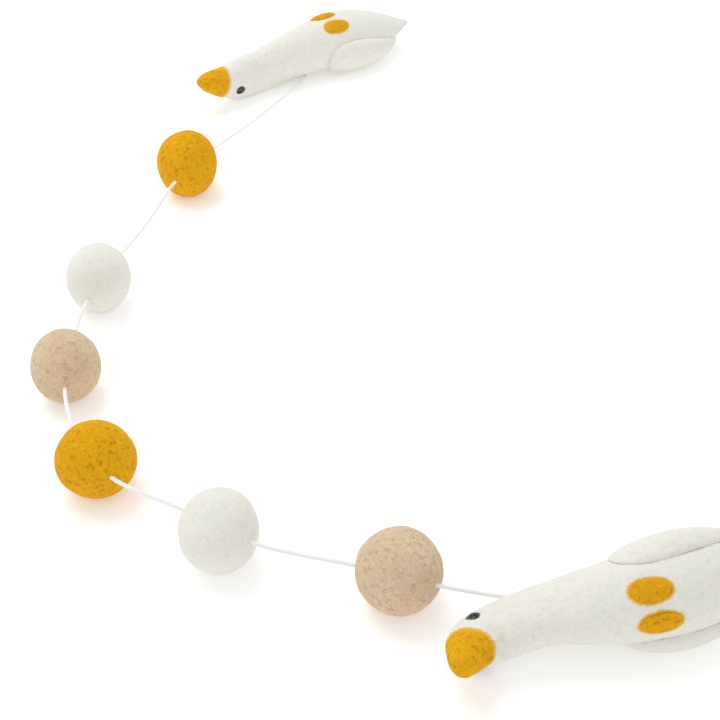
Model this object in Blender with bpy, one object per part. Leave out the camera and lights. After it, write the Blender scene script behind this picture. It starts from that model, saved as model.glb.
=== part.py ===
"""Goose garland: needle-felted wool geese and felt balls threaded on one cotton string.

The garland lies on a flat surface, z = 0, in the curve of a loosely laid string: a goose at
each end with its beak towards the balls, and six balls between them. Every felted piece
rests on a small flat spot. The origin is the flat spot of the fourth ball, +X runs to the
right along the near side of the curve and +Y runs to the far goose.

Lengths in the tables are in millimetres, and everything is built in metres.
"""

import math

import bmesh
import bpy
import numpy as np
from mathutils import Euler, Vector

MM = 0.001

# Driving sizes
BALL_SINK = 0.45 * MM  # how far a ball is pressed into its flat spot
PIECE_GAP = 0.3 * MM  # clearance between pieces that touch in the real thing
PAD_GAP = 0.4 * MM  # the same under a pad, whose facets bridge the curved goose
STRING_DIAMETER = 1.4 * MM
STRING_POINTS = 80
STRING_FACETS = 2  # bevel resolution: eight sides
BALL_SIDES = 24
BALL_RINGS = 14
BALL_LUMPS = 0.012  # unevenness of a rolled ball, as a share of its radius
GOOSE_SIDES = 24
ROW_STEPS = 3  # loft rings between two rows of a table
FINE_STEPS = 40  # steps of a goose's middle line between two rows
TAIL_TIP = 1.2  # how far a goose's tail ends past its first row, in millimetres
BEAK_TIP = 1.4  # how far its beak ends past its last row, in millimetres
KNOT_SIDES = 12
BLOCK_MIDDLE = (0.1, 0.13, -0.02)  # the cutter below the surface, in metres
BLOCK_SIZE = (0.4, 0.5, 0.04)

# The six balls: colour, centre on the surface, width across the photo's view and depth.
BALL_COLUMNS = ("name", "wool", "x", "y", "across", "deep", "phase")
BALLS = [
    ("ball_1", "mustard", 11.4, 172.1, 24.6, 27.0, 0.4),
    ("ball_2", "white", -13.4, 95.0, 23.7, 25.3, 1.7),
    ("ball_3", "beige", -17.0, 44.9, 23.5, 25.1, 2.9),
    ("ball_4", "mustard", 0.0, 0.0, 25.1, 25.0, 4.1),
    ("ball_5", "white", 40.7, -30.4, 23.7, 25.9, 5.2),
    ("ball_6", "beige", 93.4, -45.9, 25.5, 25.4, 0.9),
]

# A goose from the tail to the tip of the beak, in its own axes: x forward, y to its left,
# z to its back. A row is a section: how far along the middle line it lies, how steeply that
# line climbs towards the back there, in degrees, and the section's half sizes.
GOOSE = [
    (0.0, -6.0, 1.8, 1.2),
    (7.0, -6.0, 6.0, 3.4),
    (16.0, -6.0, 9.8, 6.6),
    (28.0, -5.0, 12.4, 10.0),
    (40.0, -1.0, 12.8, 11.7),
    (51.0, 3.0, 12.0, 12.0),
    (61.0, 7.0, 10.4, 11.5),
    (71.0, 8.0, 8.9, 10.8),
    (80.0, 4.0, 7.9, 10.6),
    (88.0, -1.0, 7.5, 10.4),
    (95.0, -9.0, 7.3, 9.3),
    (100.5, -15.0, 6.6, 7.6),
    (103.6, -18.0, 5.9, 6.7),
    (107.8, -18.0, 5.3, 5.3),
    (111.8, -18.0, 4.4, 3.8),
    (114.4, -18.0, 2.8, 2.0),
]
BEAK_ROW = 12  # the row where the white head ends and the beak starts
MIDDLE = 44.0  # the place along a goose that its pose gives
NECK_SPAN = (55.0, 88.0)  # the stretch of neck that may be longer or shorter
SWAY_SPAN = (60.0, 92.0)  # the stretch of neck that may bend to one side
NOD_SPAN = (88.0, 104.0)  # the stretch of head that may bend further towards the belly

# Pads felted onto the goose. along and angle place the middle (0 is the belly, 90 the left
# side), length runs along the goose, width around it, and rise is the pad's thickness.
# tail_share is how wide the rear end is, as a share of the front.
PAD_COLUMNS = ("name", "wool", "along", "angle", "length", "width", "rise", "tail_share", "turn")
PADS = [
    ("wing_left", "white", 32.0, 105.0, 44.0, 21.0, 3.4, 0.5, -7.0),
    ("wing_right", "white", 31.5, -106.0, 44.0, 22.0, 5.4, 0.5, 6.0),
    ("foot_left", "mustard", 46.6, 25.0, 11.2, 6.6, 0.9, 0.9, 8.0),
    ("foot_right", "mustard", 45.1, -20.0, 11.2, 6.6, 0.9, 0.9, 2.0),
    ("eye_left", "black", 96.5, 95.0, 3.3, 3.0, 0.7, 1.0, 0.0),
    ("eye_right", "black", 96.3, -96.0, 3.3, 3.0, 0.7, 1.0, 0.0),
]
PAD_MESH = {"wing": (22, 12), "foot": (16, 8), "eye": (12, 6)}  # sides and rings

# How each goose lies: its middle, its heading, how far it has rolled over onto its back,
# its nose-down pitch, how long its neck is, how far that sways to its left, how far the head
# turns to its left and how far it nods.
POSE_COLUMNS = (
    "name", "x", "y", "z", "heading", "roll", "pitch", "neck", "sway", "turn", "nod"
)
POSES = [
    ("goose_a", 68.5, 281.0, 13.6, 215.5, 168.0, 0.0, 1.1, -4.0, 0.0, 0.0),
    ("goose_b", 162.5, -57.2, 15.4, 192.0, 122.0, 4.0, 0.92, -11.0, 16.0, 46.0),
]

# The string's middle line from the far knot to the near one: on the surface, in at the rump
# of a goose, out between its shoulders, through the six balls and the other goose.
ROUTE = [
    (47.0, 291.0, 2.2),
    (53.0, 297.0, 1.1),
    (63.0, 305.5, 0.8),
    (76.0, 313.5, 0.8),
    (88.0, 317.0, 0.8),
    (97.0, 314.0, 1.0),
    (99.5, 307.0, 2.6),
    (94.0, 300.5, 5.6),
    (85.0, 293.5, 8.2),
    (66.5, 279.5, 7.0),
    (60.5, 272.0, 4.6),
    (56.5, 265.0, 2.6),
    (44.5, 238.0, 4.5),
    (32.5, 210.0, 8.2),
    (20.0, 181.5, 13.3),
    (7.8, 159.2, 12.4),
    (0.0, 132.5, 11.2),
    (-7.8, 106.2, 12.6),
    (-15.5, 82.5, 11.3),
    (-16.6, 57.4, 12.6),
    (-15.2, 32.5, 12.7),
    (-7.4, 10.1, 12.5),
    (6.8, -10.5, 14.2),
    (30.8, -23.3, 13.0),
    (50.9, -37.1, 14.8),
    (65.8, -40.8, 13.2),
    (80.8, -44.1, 12.7),
    (104.4, -52.3, 13.5),
    (126.5, -52.5, 8.2),
    (149.0, -52.0, 3.8),
    (154.5, -53.0, 6.8),
    (171.5, -50.5, 13.8),
    (183.0, -46.5, 14.2),
    (190.0, -42.3, 13.0),
    (199.0, -38.5, 6.5),
    (206.0, -35.0, 1.8),
    (213.5, -29.5, 0.8),
    (222.5, -21.5, 0.8),
    (229.5, -11.0, 1.1),
    (232.5, -2.5, 2.2),
]

# An end knot with its short free end: how far past the string's end, how far down, its radius.
KNOT_COLUMNS = ("past", "down", "radius")
KNOT = [
    (0.3, 0.0, 0.9),
    (0.9, 0.0, 1.7),
    (1.9, 0.0, 2.1),
    (3.1, 0.1, 2.0),
    (4.0, 0.3, 1.3),
    (5.0, 0.6, 0.75),
    (8.0, 1.2, 0.7),
    (11.0, 1.4, 0.8),
]

WOOLS = {
    "mustard": (0.74, 0.40, 0.02),
    "white": (0.86, 0.85, 0.78),
    "beige": (0.66, 0.53, 0.38),
    "black": (0.02, 0.02, 0.02),
    "cotton": (0.9, 0.9, 0.88),
}
WOOL_ROUGHNESS = 0.95


def table(columns, rows):
    """Each row of a table as a dictionary from column name to value."""
    return [dict(zip(columns, row, strict=True)) for row in rows]


def collection(name):
    made = bpy.data.collections.new(name)
    bpy.context.scene.collection.children.link(made)
    return made


def move_to(made, into):
    """Put an object in one collection only."""
    for other in made.users_collection:
        other.objects.unlink(made)
    into.objects.link(made)


def material(wool):
    """One plain material for each colour of wool or cotton."""
    made = bpy.data.materials.get(wool)
    if made:
        return made
    made = bpy.data.materials.new(wool)
    made.use_nodes = True
    shader = made.node_tree.nodes["Principled BSDF"]
    shader.inputs["Base Color"].default_value = (*WOOLS[wool], 1.0)
    shader.inputs["Roughness"].default_value = WOOL_ROUGHNESS
    shader.inputs["Metallic"].default_value = 0.0
    return made


def mesh_object(name, points, faces, wool, into, parent=None):
    """A smooth-shaded object from points and faces, under its own material."""
    mesh = bpy.data.meshes.new(name)
    mesh.from_pydata([tuple(p) for p in points], [], faces)
    mesh.shade_smooth()
    made = bpy.data.objects.new(name, mesh)
    made.data.materials.append(material(wool))
    made.parent = parent
    into.objects.link(made)
    return made


def smooth_row(rows, t):
    """The row at t, counted in rows, on a smooth curve through all the rows."""
    i = min(max(int(math.floor(t)), 0), len(rows) - 2)
    u = t - i
    b, c = rows[i], rows[i + 1]
    a = rows[i - 1] if i > 0 else 2 * b - c
    d = rows[i + 2] if i + 2 < len(rows) else 2 * c - b
    return (
        b
        + 0.5 * u * (c - a)
        + 0.5 * u * u * (2 * a - 5 * b + 4 * c - d)
        + 0.5 * u**3 * (3 * b - a - 3 * c + d)
    )


def ramp(value, span):
    """0 before span, 1 after it and a smooth rise between."""
    share = min(max((value - span[0]) / (span[1] - span[0]), 0.0), 1.0)
    return share * share * (3 - 2 * share)


class GooseShape:
    """The surface of one goose, in its own axes, its middle at the origin."""

    def __init__(self, neck, sway, turn, nod):
        self.rows = np.array(GOOSE)
        self.last = len(GOOSE) - 1
        self.fine = np.linspace(0, self.last, FINE_STEPS * self.last + 1)
        self.fine_along = np.array([smooth_row(self.rows, t)[0] for t in self.fine])
        self.directions = [self.direction(t, sway, turn, nod) for t in self.fine]
        places = [Vector((0, 0, 0))]
        for k in range(1, len(self.fine)):
            step = self.fine_along[k] - self.fine_along[k - 1]
            if NECK_SPAN[0] < self.fine_along[k] < NECK_SPAN[1]:
                step *= neck
            heading = (self.directions[k] + self.directions[k - 1]).normalized()
            places.append(places[-1] + heading * step)
        middle = places[int(np.searchsorted(self.fine_along, MIDDLE))]
        self.places = [p - middle for p in places]

    def direction(self, t, sway, turn, nod):
        along, climb = smooth_row(self.rows, t)[:2]
        yaw = math.radians(sway * ramp(along, SWAY_SPAN) + turn * ramp(along, NOD_SPAN))
        rise = math.radians(climb - nod * ramp(along, NOD_SPAN))
        return Vector((math.cos(rise) * math.cos(yaw), math.cos(rise) * math.sin(yaw), math.sin(rise)))

    def row_at(self, along):
        """How many rows from the tail a place along the goose lies."""
        return float(np.interp(along, self.fine_along, self.fine))

    def frame(self, t):
        """The section's centre, forward direction, left and back directions, half sizes."""
        half_width, half_height = smooth_row(self.rows, t)[2:]
        spot = min(max(t, 0), self.last) * FINE_STEPS
        k = min(int(spot), len(self.fine) - 2)
        middle = self.places[k].lerp(self.places[k + 1], spot - k)
        ahead = self.directions[k].lerp(self.directions[k + 1], spot - k).normalized()
        left = Vector((0, 0, 1)).cross(ahead).normalized()
        return middle, ahead, left, ahead.cross(left), half_width, half_height

    def point(self, t, angle, lift=0.0, ahead_by=0.0):
        """A point of the surface, angle radians round from the belly to the left side."""
        middle, ahead, left, back, half_width, half_height = self.frame(t)
        across = left * math.sin(angle) * (half_width + lift)
        return middle + ahead * ahead_by + across - back * math.cos(angle) * (half_height + lift)

    def ring(self, t, ahead_by=0.0):
        turns = [2 * math.pi * k / GOOSE_SIDES for k in range(GOOSE_SIDES)]
        return [self.point(t, a, ahead_by=ahead_by) * MM for a in turns]


def loft(rings, start_tip=None, end_tip=None):
    """Points and faces of a closed skin over rings, each end a tip point or a flat cap."""
    sides = len(rings[0])
    points = [p for ring in rings for p in ring]
    faces = []
    for r in range(len(rings) - 1):
        for k in range(sides):
            n = (k + 1) % sides
            faces.append(
                (r * sides + k, r * sides + n, (r + 1) * sides + n, (r + 1) * sides + k)
            )
    first = list(range(sides))
    last = [(len(rings) - 1) * sides + k for k in range(sides)]
    for ring, tip, inward in ((first, start_tip, True), (last, end_tip, False)):
        if tip is None:
            faces.append(tuple(reversed(ring)) if inward else tuple(ring))
            continue
        points.append(tip)
        for k in range(sides):
            edge = (ring[k], ring[(k + 1) % sides])
            faces.append((*reversed(edge), len(points) - 1) if inward else (*edge, len(points) - 1))
    return points, faces


def goose_body(name, shape, into, parent):
    """Body, neck and head, felted in one piece, with a flat face for the beak."""
    turns = np.linspace(0, BEAK_ROW, BEAK_ROW * ROW_STEPS + 1)
    rings = [shape.ring(t) for t in turns]
    middle, ahead = shape.frame(0)[:2]
    tip = middle - ahead * TAIL_TIP
    return mesh_object(name, *loft(rings, start_tip=tip * MM), "white", into, parent)


def goose_beak(name, shape, into, parent):
    turns = np.linspace(BEAK_ROW, shape.last, (shape.last - BEAK_ROW) * ROW_STEPS + 1)
    rings = [shape.ring(t, ahead_by=PIECE_GAP / MM) for t in turns]
    middle, ahead = shape.frame(shape.last)[:2]
    tip = middle + ahead * BEAK_TIP
    return mesh_object(name, *loft(rings, end_tip=tip * MM), "mustard", into, parent)


def goose_pad(name, shape, pad, into, parent):
    """A domed pad whose flat side hugs the goose: a ball pressed onto the surface."""
    sides, rings = PAD_MESH[pad["name"].split("_")[0]]
    bpy.ops.mesh.primitive_uv_sphere_add(segments=sides, ring_count=rings, radius=1.0)
    made = bpy.context.object
    made.name = name
    move_to(made, into)
    made.parent = parent
    turn = math.radians(pad["turn"])
    for v in made.data.vertices:
        along, around, up = v.co
        share = pad["tail_share"] + (1 - pad["tail_share"]) * (0.5 + 0.5 * along) ** 0.8
        forward = along * pad["length"] / 2
        sideways = around * share * pad["width"] / 2
        forward, sideways = (
            forward * math.cos(turn) - sideways * math.sin(turn),
            forward * math.sin(turn) + sideways * math.cos(turn),
        )
        t = shape.row_at(pad["along"] + forward)
        half_width, half_height = shape.frame(t)[4:]
        angle = math.radians(pad["angle"]) + sideways / (0.5 * (half_width + half_height))
        lift = PAD_GAP / MM + max(up, 0.0) * pad["rise"]
        v.co = shape.point(t, angle, lift) * MM
    made.data.flip_normals()
    made.data.shade_smooth()
    made.data.materials.append(material(pad["wool"]))
    return made


def felt_ball(ball, into):
    """A rolled felt ball, a little uneven, its lowest part below the surface it rests on."""
    bpy.ops.mesh.primitive_uv_sphere_add(
        segments=BALL_SIDES, ring_count=BALL_RINGS, radius=1.0
    )
    made = bpy.context.object
    made.name = ball["name"]
    move_to(made, into)
    across, deep = ball["across"] / 2 * MM, ball["deep"] / 2 * MM
    phase = ball["phase"]
    for v in made.data.vertices:
        x, y, z = v.co
        bumps = (
            math.sin(3.1 * x + phase) + math.sin(3.7 * y + 2 * phase) + math.sin(4.3 * z - phase)
        )
        v.co *= 1 + BALL_LUMPS * bumps / 1.5
        v.co = (v.co.x * across, v.co.y * deep, v.co.z * deep)
    made.location = (ball["x"] * MM, ball["y"] * MM, deep - BALL_SINK)
    made.data.shade_smooth()
    made.data.materials.append(material(ball["wool"]))
    return made


def string_curve(name, radius, into):
    """A round tube along a smooth curve through the route's points."""
    route = np.array(ROUTE)
    curve = bpy.data.curves.new(name, "CURVE")
    curve.dimensions = "3D"
    curve.bevel_depth = radius
    curve.bevel_resolution = STRING_FACETS
    curve.use_fill_caps = True
    spline = curve.splines.new("POLY")
    spline.points.add(STRING_POINTS - 1)
    for k, point in enumerate(spline.points):
        place = smooth_row(route, (len(route) - 1) * k / (STRING_POINTS - 1))
        point.co = (*(place * MM), 1.0)
    made = bpy.data.objects.new(name, curve)
    into.objects.link(made)
    return made


def end_knot(name, end, before, into):
    """The lump of a tied knot and the short end past it, in line with the string's last step."""
    ahead = Vector((end[0] - before[0], end[1] - before[1], 0)).normalized()
    side = Vector((0, 0, 1)).cross(ahead)
    rings = []
    for row in table(KNOT_COLUMNS, KNOT):
        middle = Vector(end) + ahead * row["past"] - Vector((0, 0, row["down"]))
        ring = []
        for k in range(KNOT_SIDES):
            turn = 2 * math.pi * k / KNOT_SIDES
            out = side * math.cos(turn) + Vector((0, 0, 1)) * math.sin(turn)
            ring.append((middle + out * row["radius"]) * MM)
        rings.append(ring)
    return mesh_object(name, *loft(rings), "cotton", into)


def needle_hole(into):
    """The cutter that opens the string's way through the felt."""
    curve = string_curve("needle_curve", STRING_DIAMETER / 2 + PIECE_GAP, into)
    bpy.context.view_layer.update()
    solid = curve.evaluated_get(bpy.context.evaluated_depsgraph_get())
    mesh = bpy.data.meshes.new_from_object(solid)
    made = bpy.data.objects.new("needle_hole", mesh)
    made.matrix_world = curve.matrix_world
    into.objects.link(made)
    bpy.data.objects.remove(curve, do_unlink=True)
    shell = bmesh.new()
    shell.from_mesh(mesh)
    bmesh.ops.remove_doubles(shell, verts=shell.verts, dist=1e-6)
    shell.to_mesh(mesh)
    shell.free()
    return made


def surface_block(into):
    """The cutter below the surface that the garland lies on."""
    bpy.ops.mesh.primitive_cube_add(size=1.0, location=BLOCK_MIDDLE)
    made = bpy.context.object
    made.name = "surface_block"
    made.dimensions = BLOCK_SIZE
    move_to(made, into)
    return made


def cut(piece, cutter):
    cutter.hide_render = True
    cutter.display_type = "WIRE"
    made = piece.modifiers.new(cutter.name, "BOOLEAN")
    made.operation = "DIFFERENCE"
    made.solver = "EXACT"
    made.object = cutter


def main():
    for old in list(bpy.data.objects):
        bpy.data.objects.remove(old, do_unlink=True)
    parts = collection("goose_garland")
    cutters = collection("cutters")
    threaded = [felt_ball(ball, parts) for ball in table(BALL_COLUMNS, BALLS)]
    resting = list(threaded)
    for pose in table(POSE_COLUMNS, POSES):
        name = pose["name"]
        roll, pitch, heading = (math.radians(pose[k]) for k in ("roll", "pitch", "heading"))
        stand = bpy.data.objects.new(name, None)
        parts.objects.link(stand)
        stand.location = Vector((pose["x"], pose["y"], pose["z"])) * MM
        stand.rotation_euler = Euler((roll, pitch, heading))
        shape = GooseShape(pose["neck"], pose["sway"], pose["turn"], pose["nod"])
        body = goose_body(f"{name}_body", shape, parts, stand)
        goose_beak(f"{name}_beak", shape, parts, stand)
        threaded.append(body)
        resting.append(body)
        for pad in table(PAD_COLUMNS, PADS):
            made = goose_pad(f"{name}_{pad['name']}", shape, pad, parts, stand)
            if pad["name"].startswith("wing"):
                resting.append(made)

    string = string_curve("string", STRING_DIAMETER / 2, parts)
    string.data.materials.append(material("cotton"))
    end_knot("knot_a", ROUTE[0], ROUTE[1], parts)
    end_knot("knot_b", ROUTE[-1], ROUTE[-2], parts)

    hole = needle_hole(cutters)
    block = surface_block(cutters)
    for piece in threaded:
        cut(piece, hole)
    for piece in resting:
        cut(piece, block)


main()
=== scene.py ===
"""Looks of the goose garland: two needle-felted geese and six felt balls on a cotton string.

Every felted piece is a fine mesh around its plain solid: the same shape, with the lumps, the
laid fibres and the dents of needle felting. Its fine curled fibres are in the material, with painted shade
in the hollows between them.
Lengths in the tables are in millimetres. The scene is in metres.
"""

import math

import bmesh
import bpy
import numpy as np
from mathutils import Euler, Matrix, Vector, noise
from mathutils.bvhtree import BVHTree


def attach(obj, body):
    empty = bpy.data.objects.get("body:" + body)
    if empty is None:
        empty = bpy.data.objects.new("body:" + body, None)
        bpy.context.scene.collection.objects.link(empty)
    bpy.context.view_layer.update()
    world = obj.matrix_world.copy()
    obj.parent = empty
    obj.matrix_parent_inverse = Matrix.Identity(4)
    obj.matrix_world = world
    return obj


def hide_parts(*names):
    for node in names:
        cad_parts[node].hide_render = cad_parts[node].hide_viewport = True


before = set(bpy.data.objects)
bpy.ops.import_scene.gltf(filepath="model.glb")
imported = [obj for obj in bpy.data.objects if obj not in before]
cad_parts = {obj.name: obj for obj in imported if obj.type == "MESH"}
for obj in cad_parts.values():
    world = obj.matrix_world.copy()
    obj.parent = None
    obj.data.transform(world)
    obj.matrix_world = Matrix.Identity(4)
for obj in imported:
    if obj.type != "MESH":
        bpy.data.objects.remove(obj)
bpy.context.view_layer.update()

MM = 0.001
UP = Vector((0, 0, 1))

# Camera and light
CAMERA_EYE = (0.0823, -0.3003, 0.3045)
CAMERA_TARGET = (0.0823, 0.0476, 0.0125)
CAMERA_LENS = 67.0
FLOOR_SIZE = 6.0
FLOOR_DROP = 0.05 * MM
SKY_STRENGTH = 0.80
# name, place, aimed at, width, power in watts
LAMPS = [
    ("softbox_over", (-0.35, 0.55, 1.15), (0.10, 0.10, 0.0), 0.9, 7.0),
]

# The string
STRING_DIAMETER = 1.4 * MM
STRING_STEPS = 2400
STRING_SIDES = 10
STRING_TWIST = 3.4 * MM  # length of one full turn of the two plies
PLY_DEPTH = 0.16
GATE_STEPS = 900  # points that find where it meets the felt
GATE_REACH = 1.05 * MM
# Its middle line, from the far knot to the near one, as in the solids.
ROUTE = [
    (47.0, 291.0, 2.2),
    (53.0, 297.0, 1.1),
    (63.0, 305.5, 0.8),
    (76.0, 313.5, 0.8),
    (88.0, 317.0, 0.8),
    (97.0, 314.0, 1.0),
    (99.5, 307.0, 2.6),
    (94.0, 300.5, 5.6),
    (85.0, 293.5, 8.2),
    (66.5, 279.5, 7.0),
    (60.5, 272.0, 4.6),
    (56.5, 265.0, 2.6),
    (44.5, 238.0, 4.5),
    (32.5, 210.0, 8.2),
    (20.0, 181.5, 13.3),
    (7.8, 159.2, 12.4),
    (0.0, 132.5, 11.2),
    (-7.8, 106.2, 12.6),
    (-15.5, 82.5, 11.3),
    (-16.6, 57.4, 12.6),
    (-15.2, 32.5, 12.7),
    (-7.4, 10.1, 12.5),
    (6.8, -10.5, 14.2),
    (30.8, -23.3, 13.0),
    (50.9, -37.1, 14.8),
    (65.8, -40.8, 13.2),
    (80.8, -44.1, 12.7),
    (104.4, -52.3, 13.5),
    (126.5, -52.5, 8.2),
    (149.0, -52.0, 3.8),
    (154.5, -53.0, 6.8),
    (171.5, -50.5, 13.8),
    (183.0, -46.5, 14.2),
    (190.0, -42.3, 13.0),
    (199.0, -38.5, 6.5),
    (206.0, -35.0, 1.8),
    (213.5, -29.5, 0.8),
    (222.5, -21.5, 0.8),
    (229.5, -11.0, 1.1),
    (232.5, -2.5, 2.2),
]

# Balls: wool, centre on the surface, width across the view, depth, phase of the lumps.
BALLS = {
    "ball_1": ("mustard", 11.4, 172.1, 24.6, 27.0, 0.4),
    "ball_2": ("white", -13.4, 95.0, 23.7, 25.3, 1.7),
    "ball_3": ("beige", -17.0, 44.9, 23.5, 25.1, 2.9),
    "ball_4": ("mustard", 0.0, 0.0, 25.1, 25.0, 4.1),
    "ball_5": ("white", 40.7, -30.4, 23.7, 25.9, 5.2),
    "ball_6": ("beige", 93.4, -45.9, 25.5, 25.4, 0.9),
}
BALL_GRID = 64
BALL_SINK = 0.45 * MM
BALL_LUMPS = 0.012

# Geese: the table of sections is the same as in the solids.
GOOSE = [
    (0.0, -6.0, 1.8, 1.2),
    (7.0, -6.0, 6.0, 3.4),
    (16.0, -6.0, 9.8, 6.6),
    (28.0, -5.0, 12.4, 10.0),
    (40.0, -1.0, 12.8, 11.7),
    (51.0, 3.0, 12.0, 12.0),
    (61.0, 7.0, 10.4, 11.5),
    (71.0, 8.0, 8.9, 10.8),
    (80.0, 4.0, 7.9, 10.6),
    (88.0, -1.0, 7.5, 10.4),
    (95.0, -9.0, 7.3, 9.3),
    (100.5, -15.0, 6.6, 7.6),
    (103.6, -18.0, 5.9, 6.7),
    (107.8, -18.0, 5.3, 5.3),
    (111.8, -18.0, 4.4, 3.8),
    (114.4, -18.0, 2.8, 2.0),
]
BEAK_ROW = 12
FINE_STEPS = 40
MIDDLE = 44.0
NECK_SPAN = (55.0, 88.0)
SWAY_SPAN = (60.0, 92.0)
NOD_SPAN = (88.0, 104.0)
RING_STEP = 0.45  # spacing of the rings along a goose
GOOSE_SIDES = 144
TAIL_TIP = 1.2
BEAK_TIP = 1.4
# name: place, heading, roll, pitch, neck, sway, turn, nod
POSES = {
    "goose_a": ((68.5, 281.0, 13.6), 215.5, 168.0, 0.0, 1.1, -4.0, 0.0, 0.0),
    "goose_b": ((162.5, -57.2, 15.4), 192.0, 122.0, 4.0, 0.92, -11.0, 16.0, 46.0),
}
# name: wool, along, angle, length, width, rise, tail_share, turn, grid
PADS = {
    "wing_left": ("white", 32.0, 105.0, 44.0, 21.0, 3.4, 0.5, -7.0, 44),
    "wing_right": ("white", 31.5, -106.0, 44.0, 22.0, 5.4, 0.5, 6.0, 44),
    "foot_left": ("mustard", 46.6, 25.0, 11.2, 6.6, 0.9, 0.9, 8.0, 24),
    "foot_right": ("mustard", 45.1, -20.0, 11.2, 6.6, 0.9, 0.9, 2.0, 24),
    "eye_left": ("black", 96.5, 95.0, 3.3, 3.0, 0.7, 1.0, 0.0, 14),
    "eye_right": ("black", 96.3, -96.0, 3.3, 3.0, 0.7, 1.0, 0.0, 14),
}
PAD_GAP = 0.08
PAD_RELIEF = {"wing": 0.8, "foot": 0.5, "eye": 0.3}
BODY_RELIEF = 0.8
LAID_DEPTH = 0.16  # height of the fibres laid along a goose
# How far the colour of a beak, foot or eye runs into the white wool round it
BEAK_EDGE = 2.6
FOOT_EDGE = 1.6
EYE_EDGE = 1.2
EDGE_POINTS = 48

# Needle-felt relief, as spacing and depth in millimetres
LUMPS = (9.0, 0.22)
RUMPLES = (3.0, 0.10)
NEEDLING = (1.1, 0.05)
FLAT_SPOT = 0.02  # lowest that felt reaches
SHARP_EDGE = math.radians(60)


# Materials


def add_node(tree, kind, place, **settings):
    made = tree.nodes.new(kind)
    made.location = place
    for name, value in settings.items():
        setattr(made, name, value)
    return made


def sockets(tree, inputs, outputs):
    """Named inputs as (name, kind, default) and outputs as (name, kind) of a node group."""
    for name, kind, default in inputs:
        made = tree.interface.new_socket(name, in_out="INPUT", socket_type=kind)
        made.default_value = default
    for name, kind in outputs:
        tree.interface.new_socket(name, in_out="OUTPUT", socket_type=kind)
    return (
        add_node(tree, "NodeGroupInput", (-1600, 0)),
        add_node(tree, "NodeGroupOutput", (1400, 0)),
    )


def math_node(tree, operation, first, second, place, clamp=False):
    made = add_node(tree, "ShaderNodeMath", place, operation=operation, use_clamp=clamp)
    for socket, value in zip(made.inputs, (first, second)):
        if isinstance(value, (int, float)):
            socket.default_value = value
        else:
            tree.links.new(value, socket)
    return made.outputs[0]


def noise_node(tree, where, scale, detail, place, distortion=0.0):
    made = add_node(tree, "ShaderNodeTexNoise", place)
    tree.links.new(where, made.inputs["Vector"])
    if isinstance(scale, (int, float)):
        made.inputs["Scale"].default_value = scale
    else:
        tree.links.new(scale, made.inputs["Scale"])
    made.inputs["Detail"].default_value = detail
    made.inputs["Distortion"].default_value = distortion
    return made


def mix_colour(tree, share, first, second, place):
    made = add_node(tree, "ShaderNodeMix", place, data_type="RGBA")
    for socket, value in zip((made.inputs[0], made.inputs[6], made.inputs[7]), (share, first, second)):
        if isinstance(value, (int, float, tuple)):
            socket.default_value = value
        else:
            tree.links.new(value, socket)
    return made.outputs[2]


def ridge(tree, source, width, place):
    """1 on the thin lines where a noise crosses its middle value, 0 a little way off them."""
    x, y = place
    off = math_node(tree, "SUBTRACT", source, 0.5, (x, y))
    off = math_node(tree, "ABSOLUTE", off, 0.0, (x + 160, y))
    off = math_node(tree, "DIVIDE", off, width, (x + 320, y))
    return math_node(tree, "SUBTRACT", 1.0, off, (x + 480, y), clamp=True)


def curled_wool():
    """Curly fibres: a mask of raised ones, a mask of sunk ones for the painted shade in their hollows,
    broad patches and a height.
    """
    tree = bpy.data.node_groups.new("curled_wool", "ShaderNodeTree")
    put_in, put_out = sockets(
        tree,
        [
            ("Spacing", "NodeSocketFloat", 620.0),
            ("Width", "NodeSocketFloat", 0.05),
        ],
        [
            ("Raised", "NodeSocketFloat"),
            ("Sunk shade", "NodeSocketFloat"),
            ("Patches", "NodeSocketFloat"),
            ("Height", "NodeSocketFloat"),
        ],
    )
    where = add_node(tree, "ShaderNodeTexCoord", (-1600, 300)).outputs["Object"]
    spacing = put_in.outputs["Spacing"]
    width = put_in.outputs["Width"]
    shifted = []
    for k, offset in enumerate([(0.0, 0.0, 0.0), (0.31, 0.17, 0.05), (0.07, 0.43, 0.29)]):
        moved = add_node(tree, "ShaderNodeVectorMath", (-1300, -200 * k), operation="ADD")
        moved.inputs[1].default_value = offset
        tree.links.new(where, moved.inputs[0])
        shifted.append(moved.outputs[0])
    raised = None
    for k, place in enumerate(shifted[:2]):
        curls = noise_node(tree, place, spacing, 1.5, (-1050, -200 * k), distortion=0.9)
        line = ridge(tree, curls.outputs[0], width, (-850, -200 * k))
        raised = line if raised is None else math_node(tree, "MAXIMUM", raised, line, (-200, 0))
    # the sunk places: they lower the height, and the material paints shade into these hollows
    hollows = noise_node(tree, shifted[2], spacing, 2.0, (-1050, -500), distortion=0.6)
    sunk_and_shaded = math_node(tree, "SUBTRACT", 0.47, hollows.outputs[0], (-850, -500))
    sunk_and_shaded = math_node(tree, "MULTIPLY", sunk_and_shaded, 8.0, (-700, -500), clamp=True)
    broad = noise_node(tree, where, 90.0, 2.0, (-1050, -700))
    patches = math_node(tree, "SUBTRACT", broad.outputs[0], 0.35, (-850, -700))
    patches = math_node(tree, "MULTIPLY", patches, 3.0, (-700, -700), clamp=True)
    grain = noise_node(tree, where, 2600.0, 2.0, (-1050, -900))
    height = math_node(tree, "MULTIPLY", raised, 0.6, (0, -300))
    low = math_node(tree, "MULTIPLY", sunk_and_shaded, 0.7, (0, -450))
    height = math_node(tree, "SUBTRACT", height, low, (160, -300))
    fine = math_node(tree, "MULTIPLY", grain.outputs[0], 0.5, (160, -600))
    height = math_node(tree, "ADD", height, fine, (320, -300))
    for name, value in (
        ("Raised", raised),
        ("Sunk shade", sunk_and_shaded),
        ("Patches", patches),
        ("Height", height),
    ):
        tree.links.new(value, put_out.inputs[name])
    return tree


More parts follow.
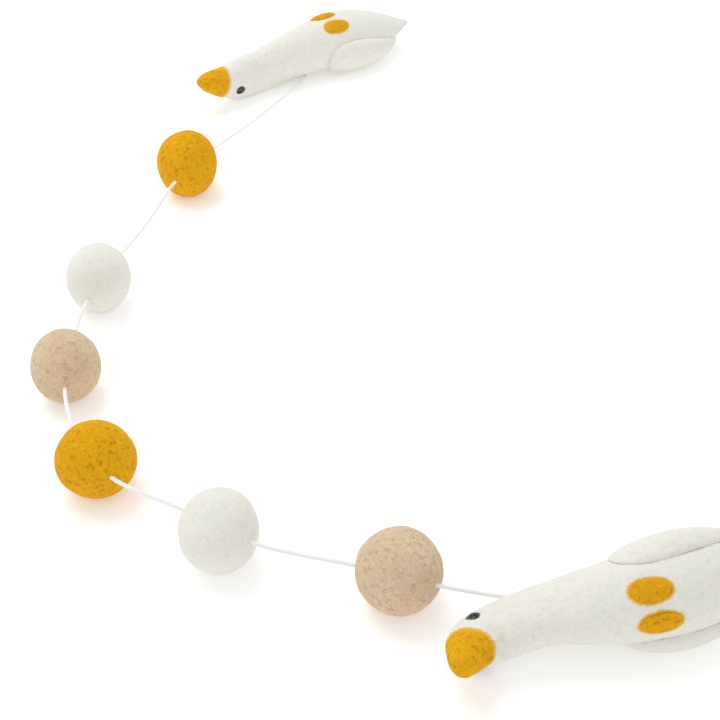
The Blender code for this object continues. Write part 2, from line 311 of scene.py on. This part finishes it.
def attribute_share(tree, name, place, source, raggedness):
    """A mask from a named share on the mesh, with its edge broken up by the fibres."""
    x, y = place
    own = add_node(tree, "ShaderNodeAttribute", place, attribute_name=name)
    off = math_node(tree, "SUBTRACT", source, 0.5, (x, y - 160))
    off = math_node(tree, "MULTIPLY", off, raggedness, (x + 160, y - 160))
    share = math_node(tree, "ADD", own.outputs["Fac"], off, (x + 320, y))
    share = math_node(tree, "SUBTRACT", share, 0.3, (x + 480, y))
    share = math_node(tree, "MULTIPLY", share, 2.5, (x + 640, y), clamp=True)
    known = math_node(tree, "GREATER_THAN", own.outputs["Fac"], 0.001, (x + 480, y - 160))
    return math_node(tree, "MULTIPLY", share, known, (x + 800, y))


# wool: base colour, colour of raised fibres, painted shade colour of the hollows (also the tone of the
# broad random patches), how strongly the two show, sheen
WOOLS = {
    "mustard": ((0.74, 0.365, 0.004), (0.86, 0.50, 0.02), (0.48, 0.165, 0.001), 0.55, 0.75, 0.12),
    "white": ((0.80, 0.79, 0.725), (0.86, 0.85, 0.80), (0.70, 0.69, 0.60), 0.5, 0.5, 0.05),
    "beige": ((0.66, 0.50, 0.335), (0.80, 0.67, 0.48), (0.46, 0.32, 0.19), 0.5, 0.7, 0.10),
    "black": ((0.018, 0.018, 0.016), (0.22, 0.22, 0.19), (0.004, 0.004, 0.004), 0.9, 0.6, 0.05),
}
PLAIN_WOOL = 0.95


def opaque(colour):
    return (*colour, 1.0)


def wool_material(wool, curls):
    # deep is the painted shade colour of the hollows between the curls, and also the tone the broad random
    # patches run to
    base, pale, deep, pale_share, hollow_shade_share, sheen = WOOLS[wool]
    made = bpy.data.materials.new(f"{wool}_felt")
    made.use_nodes = True
    tree = made.node_tree
    shader = tree.nodes["Principled BSDF"]
    shader.inputs["Roughness"].default_value = PLAIN_WOOL
    shader.inputs["Specular IOR Level"].default_value = 0.15
    shader.inputs["Sheen Weight"].default_value = sheen
    shader.inputs["Sheen Roughness"].default_value = 0.6
    shader.inputs["Sheen Tint"].default_value = opaque(pale)
    fibres = add_node(tree, "ShaderNodeGroup", (-1400, 0), node_tree=curls)
    raised = math_node(tree, "MULTIPLY", fibres.outputs["Raised"], pale_share, (-1150, 100))
    # how strongly the painted shade darkens the hollows
    sunk_and_shaded = math_node(tree, "MULTIPLY", fibres.outputs["Sunk shade"], hollow_shade_share, (-1150, -100))
    patches = math_node(tree, "MULTIPLY", fibres.outputs["Patches"], 0.25, (-1150, -300))
    colour = mix_colour(tree, patches, opaque(base), opaque(deep), (-950, 0))
    # painted shade: the hollows between the curls darkened towards the deep colour
    colour = mix_colour(tree, sunk_and_shaded, colour, opaque(deep), (-750, 0))
    colour = mix_colour(tree, raised, colour, opaque(pale), (-550, 0))
    if wool == "white":
        ragged = add_node(tree, "ShaderNodeTexNoise", (-1400, -500))
        where = add_node(tree, "ShaderNodeTexCoord", (-1600, -500)).outputs["Object"]
        tree.links.new(where, ragged.inputs["Vector"])
        ragged.inputs["Scale"].default_value = 1100.0
        ragged.inputs["Distortion"].default_value = 1.2
        for k, (name, tint, spread) in enumerate(
            [("mustard_share", (0.80, 0.43, 0.03), 0.9), ("black_share", (0.08, 0.08, 0.07), 0.5)]
        ):
            share = attribute_share(tree, name, (-1150, -500 - 400 * k), ragged.outputs[0], spread)
            colour = mix_colour(tree, share, colour, opaque(tint), (-350 + 160 * k, -200))
    tree.links.new(colour, shader.inputs["Base Color"])
    bump = add_node(tree, "ShaderNodeBump", (-200, -500))
    bump.inputs["Strength"].default_value = 0.6
    bump.inputs["Distance"].default_value = 0.12 * MM
    tree.links.new(fibres.outputs["Height"], bump.inputs["Height"])
    tree.links.new(bump.outputs[0], shader.inputs["Normal"])
    return made


def cotton_material():
    made = bpy.data.materials.new("cotton_twist")
    made.use_nodes = True
    tree = made.node_tree
    shader = tree.nodes["Principled BSDF"]
    shader.inputs["Roughness"].default_value = 0.85
    shader.inputs["Specular IOR Level"].default_value = 0.2
    shader.inputs["Sheen Weight"].default_value = 0.1
    where = add_node(tree, "ShaderNodeTexCoord", (-900, 0)).outputs["Object"]
    hairs = noise_node(tree, where, 3000.0, 2.0, (-700, 0))
    slubs = noise_node(tree, where, 260.0, 2.0, (-700, -250))
    tone = math_node(tree, "MULTIPLY", slubs.outputs[0], hairs.outputs[0], (-500, 0))
    tone = math_node(tree, "MULTIPLY", tone, 1.6, (-350, 0), clamp=True)
    colour = mix_colour(tree, tone, opaque((0.93, 0.93, 0.92)), opaque((0.78, 0.78, 0.76)), (-200, 0))
    tree.links.new(colour, shader.inputs["Base Color"])
    bump = add_node(tree, "ShaderNodeBump", (-200, -400))
    bump.inputs["Strength"].default_value = 0.4
    bump.inputs["Distance"].default_value = 0.05 * MM
    tree.links.new(hairs.outputs[0], bump.inputs["Height"])
    tree.links.new(bump.outputs[0], shader.inputs["Normal"])
    return made


def floor_material():
    made = bpy.data.materials.new("pale_floor")
    made.use_nodes = True
    shader = made.node_tree.nodes["Principled BSDF"]
    shader.inputs["Base Color"].default_value = (0.9, 0.9, 0.9, 1.0)
    shader.inputs["Roughness"].default_value = 1.0
    shader.inputs["Specular IOR Level"].default_value = 0.0
    shader.inputs["Emission Color"].default_value = (1.0, 1.0, 1.0, 1.0)
    shader.inputs["Emission Strength"].default_value = 0.25
    return made


# Camera, light and floor


def aim(made, eye, target):
    made.location = eye
    toward = Vector(target) - Vector(eye)
    made.rotation_euler = toward.to_track_quat("-Z", "Y").to_euler()


def add_object(name, data):
    made = bpy.data.objects.new(name, data)
    bpy.context.scene.collection.objects.link(made)
    return made


def make_camera():
    data = bpy.data.cameras.new("camera")
    data.lens = CAMERA_LENS
    data.clip_start = 0.01
    made = add_object("camera", data)
    aim(made, CAMERA_EYE, CAMERA_TARGET)
    bpy.context.scene.camera = made


def make_light():
    world = bpy.data.worlds.new("soft_sky")
    bpy.context.scene.world = world
    world.use_nodes = True
    sky = world.node_tree.nodes["Background"]
    sky.inputs["Color"].default_value = (1.0, 1.0, 1.0, 1.0)
    sky.inputs["Strength"].default_value = SKY_STRENGTH
    for name, place, target, width, power in LAMPS:
        data = bpy.data.lights.new(name, "AREA")
        data.size = width
        data.energy = power
        aim(add_object(name, data), place, target)
    bpy.context.scene.view_settings.view_transform = "Standard"


def make_floor():
    half = FLOOR_SIZE / 2
    corners = [(-half, -half), (half, -half), (half, half), (-half, half)]
    mesh = bpy.data.meshes.new("floor")
    mesh.from_pydata([(x, y, -FLOOR_DROP) for x, y in corners], [], [(0, 1, 2, 3)])
    made = add_object("floor", mesh)
    made.data.materials.append(floor_material())


# Shapes


def smooth_row(rows, t):
    """The row at t, counted in rows, on a smooth curve through all the rows."""
    i = min(max(int(math.floor(t)), 0), len(rows) - 2)
    u = t - i
    b, c = rows[i], rows[i + 1]
    a = rows[i - 1] if i > 0 else 2 * b - c
    d = rows[i + 2] if i + 2 < len(rows) else 2 * c - b
    return (
        b
        + 0.5 * u * (c - a)
        + 0.5 * u * u * (2 * a - 5 * b + 4 * c - d)
        + 0.5 * u**3 * (3 * b - a - 3 * c + d)
    )


def ramp(value, span):
    """0 before span, 1 after it and a smooth rise between."""
    share = min(max((value - span[0]) / (span[1] - span[0]), 0.0), 1.0)
    return share * share * (3 - 2 * share)


def rough(places, spacing, seed):
    """A smooth random value from about -1 to 1 for each place, in millimetres."""
    shift = Vector((31.7, 12.9, 57.1)) * seed
    return np.array([noise.noise(Vector(p) / spacing + shift) for p in places])


def normals_of(points, faces):
    mesh = bpy.data.meshes.new("measure")
    mesh.from_pydata(points, [], faces)
    mesh.update()
    found = np.zeros(len(points) * 3)
    mesh.vertex_normals.foreach_get("vector", found)
    bpy.data.meshes.remove(mesh)
    return found.reshape(-1, 3)


def felted(points, faces, seed, strength=1.0, extra=0.0):
    """Points in millimetres moved along their normals by the relief of needle felting."""
    points = np.asarray(points, float)
    move = np.zeros(len(points)) + extra
    for k, (spacing, depth) in enumerate((LUMPS, RUMPLES, NEEDLING)):
        move = move + strength * depth * rough(points, spacing, seed + k)
    return points + normals_of(points, faces) * move[:, None]


def on_floor(points):
    """Pieces press their lowest points flat onto the surface."""
    points = np.array(points, float)
    points[:, 2] = np.maximum(points[:, 2], FLAT_SPOT)
    return points


def piece(name, points, faces, material, node=None, shares=None):
    """A felt piece in the scene from points in millimetres, riding with the garland."""
    mesh = bpy.data.meshes.new(name)
    mesh.from_pydata(np.asarray(points) * MM, [], faces)
    mesh.shade_smooth()
    mesh.set_sharp_from_angle(angle=SHARP_EDGE)
    for key, values in (shares or {}).items():
        made = mesh.attributes.new(key, "FLOAT", "POINT")
        made.data.foreach_set("value", np.asarray(values, np.float32))
    mesh.materials.append(material)
    made = add_object(name, mesh)
    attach(made, "root")
    if node:
        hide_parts(node)
    return made


def grid_ball(n):
    """A round mesh of even squares: the points of a cube's faces pushed onto a unit ball."""
    shell = bmesh.new()
    bmesh.ops.create_cube(shell, size=2.0)
    bmesh.ops.subdivide_edges(shell, edges=shell.edges, cuts=n - 1, use_grid_fill=True)
    points = np.array([v.co for v in shell.verts], float)
    faces = [[v.index for v in f.verts] for f in shell.faces]
    shell.free()
    points = np.tan(points * math.pi / 4)
    return points / np.linalg.norm(points, axis=1)[:, None], faces


def string_dents(points, depth=0.7, width=1.5):
    """How far the felt is drawn in round the two places where the string goes through it."""
    move = np.zeros(len(points))
    for place in STRING_GATES:
        off = np.linalg.norm(points - np.array(place), axis=1)
        move -= depth * np.exp(-((off / width) ** 2))
    return move


def felt_ball(name, materials):
    wool, x, y, across, deep, phase = BALLS[name]
    unit, faces = grid_ball(BALL_GRID)
    bumps = (
        np.sin(3.1 * unit[:, 0] + phase)
        + np.sin(3.7 * unit[:, 1] + 2 * phase)
        + np.sin(4.3 * unit[:, 2] - phase)
    )
    points = unit * (1 + BALL_LUMPS * bumps / 1.5)[:, None]
    points = points * np.array([across, deep, deep]) / 2
    points = points + np.array([x, y, deep / 2 - BALL_SINK / MM])
    points = felted(points, faces, phase, 1.0, string_dents(points))
    made = piece(name + "_felt", on_floor(points), faces, materials[wool], name)
    return made


class GooseShape:
    """The surface of one goose, in its own axes, its middle at the origin."""

    def __init__(self, name):
        place, heading, roll, pitch, neck, sway, turn, nod = POSES[name]
        angles = Euler([math.radians(a) for a in (roll, pitch, heading)])
        self.stand = Matrix.Translation(place) @ angles.to_matrix().to_4x4()
        self.rows = np.array(GOOSE)
        self.last = len(GOOSE) - 1
        self.fine = np.linspace(0, self.last, FINE_STEPS * self.last + 1)
        self.fine_along = np.array([smooth_row(self.rows, t)[0] for t in self.fine])
        self.directions = [self.direction(t, sway, turn, nod) for t in self.fine]
        places = [Vector((0, 0, 0))]
        for k in range(1, len(self.fine)):
            step = self.fine_along[k] - self.fine_along[k - 1]
            if NECK_SPAN[0] < self.fine_along[k] < NECK_SPAN[1]:
                step *= neck
            heading = (self.directions[k] + self.directions[k - 1]).normalized()
            places.append(places[-1] + heading * step)
        middle = places[int(np.searchsorted(self.fine_along, MIDDLE))]
        self.places = [p - middle for p in places]

    def direction(self, t, sway, turn, nod):
        along, climb = smooth_row(self.rows, t)[:2]
        yaw = math.radians(sway * ramp(along, SWAY_SPAN) + turn * ramp(along, NOD_SPAN))
        rise = math.radians(climb - nod * ramp(along, NOD_SPAN))
        return Vector((math.cos(rise) * math.cos(yaw), math.cos(rise) * math.sin(yaw), math.sin(rise)))

    def row_at(self, along):
        """How many rows from the tail a place along the goose lies."""
        return float(np.interp(along, self.fine_along, self.fine))

    def frame(self, t):
        """The section's centre, forward direction, left and back directions, half sizes."""
        half_width, half_height = smooth_row(self.rows, t)[2:]
        spot = min(max(t, 0), self.last) * FINE_STEPS
        k = min(int(spot), len(self.fine) - 2)
        middle = self.places[k].lerp(self.places[k + 1], spot - k)
        ahead = self.directions[k].lerp(self.directions[k + 1], spot - k).normalized()
        left = UP.cross(ahead).normalized()
        return middle, ahead, left, ahead.cross(left), half_width, half_height

    def point(self, t, angle, lift=0.0, ahead_by=0.0, shrink=1.0):
        """A point of the surface, angle radians round from the belly to the left side."""
        middle, ahead, left, back, half_width, half_height = self.frame(t)
        across = left * math.sin(angle) * (half_width * shrink + lift)
        upward = back * math.cos(angle) * (half_height * shrink + lift)
        return self.stand @ (middle + ahead * ahead_by + across - upward)


def tube_faces(rings, sides):
    """Faces round a row of rings, each with the same number of points."""
    faces = []
    for r in range(rings - 1):
        for k in range(sides):
            n = (k + 1) % sides
            faces.append((r * sides + k, r * sides + n, (r + 1) * sides + n, (r + 1) * sides + k))
    return faces


def dome_rows(reach, steps=6):
    """Distance ahead and shrink of the rings of a rounded end."""
    return [
        (reach * math.sin(0.5 * math.pi * k / steps), math.cos(0.5 * math.pi * k / steps))
        for k in range(1, steps)
    ]


def goose_rows(shape, first, last, start_dome=0.0, end_dome=0.0):
    """(t, ahead_by, shrink) of each ring from one place along the goose to another."""
    low, high = shape.fine_along[first * FINE_STEPS], shape.fine_along[last * FINE_STEPS]
    count = int((high - low) / RING_STEP)
    rows = [(shape.row_at(a), 0.0, 1.0) for a in np.linspace(low, high, count)]
    if start_dome:
        rows = [(first, -by, s) for by, s in reversed(dome_rows(start_dome))] + rows
    if end_dome:
        rows += [(last, by, s) for by, s in dome_rows(end_dome)]
    return rows


def laid_fibres(shape, rows, seed):
    """Long shallow ridges that run along a goose, slightly round it, as the wool was laid."""
    move = []
    for t, _, _ in rows:
        along, _, half_width, half_height = smooth_row(shape.rows, t)
        radius = 0.5 * (half_width + half_height)
        for k in range(GOOSE_SIDES):
            turn = 2 * math.pi * k / GOOSE_SIDES
            spot = Vector((along / 9.0, math.cos(turn + 0.02 * along), math.sin(turn + 0.02 * along)))
            spot.y *= radius / 2.2
            spot.z *= radius / 2.2
            move.append(noise.noise(spot + Vector((seed, 0, 0))))
    return np.array(move)


def goose_tube(name, shape, rows, material, node, seed, shares=None):
    sides = GOOSE_SIDES
    points = []
    for t, ahead_by, shrink in rows:
        for k in range(sides):
            points.append(shape.point(t, 2 * math.pi * k / sides, 0.0, ahead_by, shrink))
    points = np.array(points, float)
    faces = tube_faces(len(rows), sides)
    extra = LAID_DEPTH * laid_fibres(shape, rows, seed) + string_dents(points)
    points = on_floor(felted(points, faces, seed, BODY_RELIEF, extra))
    last = (len(rows) - 1) * sides
    caps = [tuple(reversed(range(sides))), tuple(last + k for k in range(sides))]
    given = shares(points) if shares else None
    made = piece(name, points, faces + caps, material, node, given)
    return made


def pad_points(shape, key):
    _, along, angle, length, width, rise, tail_share, turn, grid = PADS[key]
    unit, faces = grid_ball(grid)
    turn = math.radians(turn)
    points = []
    for forward, around, up in unit:
        share = tail_share + (1 - tail_share) * (0.5 + 0.5 * forward) ** 0.8
        ahead = forward * length / 2
        side = around * share * width / 2
        ahead, side = (
            ahead * math.cos(turn) - side * math.sin(turn),
            ahead * math.sin(turn) + side * math.cos(turn),
        )
        t = shape.row_at(along + ahead)
        half_width, half_height = smooth_row(shape.rows, t)[2:]
        spot = math.radians(angle) + side / (0.5 * (half_width + half_height))
        points.append(shape.point(t, spot, PAD_GAP + max(up, 0.0) * rise))
    faces = [tuple(reversed(f)) for f in faces]
    return np.array(points, float), faces


def near_share(points, target, reach):
    """1 at the target points, falling to 0 at reach millimetres from them."""
    tree = BVHTree.FromPolygons(target[0], target[1])
    shares = []
    for p in points:
        found = tree.find_nearest(Vector(p), reach)
        shares.append(1 - found[3] / reach if found[0] is not None else 0.0)
    return np.array(shares)


def make_goose(name, materials, seed):
    shape = GooseShape(name)
    pads = {key: pad_points(shape, key) for key in PADS}
    beak_rows = goose_rows(shape, BEAK_ROW, shape.last, end_dome=BEAK_TIP)
    boundary = [np.array(shape.point(BEAK_ROW, 2 * math.pi * k / EDGE_POINTS)) for k in range(EDGE_POINTS)]

    def body_shares(points):
        edge = np.array([min(np.linalg.norm(p - b) for b in boundary) for p in points])
        mustard = np.clip(1 - edge / BEAK_EDGE, 0, 1)
        black = np.zeros(len(points))
        for key, (pad, faces) in pads.items():
            if key.startswith("foot"):
                mustard = np.maximum(mustard, near_share(points, (pad, faces), FOOT_EDGE))
            if key.startswith("eye"):
                black = np.maximum(black, near_share(points, (pad, faces), EYE_EDGE))
        return {"mustard_share": mustard, "black_share": black}

    body_rows = goose_rows(shape, 0, BEAK_ROW, start_dome=TAIL_TIP)
    goose_tube(name + "_felt", shape, body_rows, materials["white"], name + "_body", seed, body_shares)
    goose_tube(name + "_beak_felt", shape, beak_rows, materials["mustard"], name + "_beak", seed)
    for key, (points, faces) in pads.items():
        wool = PADS[key][0]
        strength = PAD_RELIEF[key.split("_")[0]]
        points = on_floor(felted(points, faces, seed + 3, strength, string_dents(points)))
        made = piece(f"{name}_{key}_felt", points, faces, materials[wool], f"{name}_{key}")


# Making the string


def along_route(count):
    """Points of the string's middle line, in millimetres."""
    route = np.array(ROUTE)
    return np.array([smooth_row(route, (len(route) - 1) * k / (count - 1)) for k in range(count)])


def twisted_tube(middle, sides, radius, twist):
    """Points and faces of a two-ply twist round a line, closed at both ends."""
    ahead = np.gradient(middle, axis=0)
    ahead /= np.linalg.norm(ahead, axis=1)[:, None]
    side = np.cross(ahead[0], (0, 0, 1))
    run = np.concatenate([[0], np.cumsum(np.linalg.norm(np.diff(middle, axis=0), axis=1))])
    points = []
    for m, a, s in zip(middle, ahead, run):
        side = side - a * np.dot(side, a)
        side /= np.linalg.norm(side)
        over = np.cross(a, side)
        for k in range(sides):
            turn = 2 * math.pi * k / sides
            lobe = 1 - PLY_DEPTH * (1 - abs(math.cos(turn - math.pi * 2 * s / twist)))
            points.append(m + radius * lobe * (side * math.cos(turn) + over * math.sin(turn)))
    last = (len(middle) - 1) * sides
    faces = tube_faces(len(middle), sides)
    faces += [tuple(reversed(range(sides))), tuple(last + k for k in range(sides))]
    return np.array(points), faces


def make_string(material):
    middle = along_route(STRING_STEPS)
    points, faces = twisted_tube(middle, STRING_SIDES, STRING_DIAMETER / MM / 2, STRING_TWIST / MM)
    made = piece("string_twist", points, faces, material, "string")


def string_gates():
    """The places where the string goes into or out of a felted piece."""
    gates = []
    middle = along_route(GATE_STEPS)
    for node in [*BALLS, "goose_a_body", "goose_b_body"]:
        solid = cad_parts[node]
        tree = BVHTree.FromObject(solid, bpy.context.evaluated_depsgraph_get())
        inside = []
        for p in middle:
            found = tree.find_nearest(Vector(p) * MM)
            inside.append((Vector(p) * MM - found[0]).length < GATE_REACH)
        for k in range(1, len(inside)):
            if inside[k] != inside[k - 1]:
                gates.append(tuple(middle[k]))
    return gates


make_camera()
make_light()
make_floor()
curls = curled_wool()
felt = {wool: wool_material(wool, curls) for wool in WOOLS}
cotton = cotton_material()
make_string(cotton)
STRING_GATES = string_gates()
for knot in ("knot_a", "knot_b"):
    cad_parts[knot].data.materials[0] = cotton
for ball in BALLS:
    felt_ball(ball, felt)
for number, goose in enumerate(POSES):
    make_goose(goose, felt, 11.0 + 7 * number)
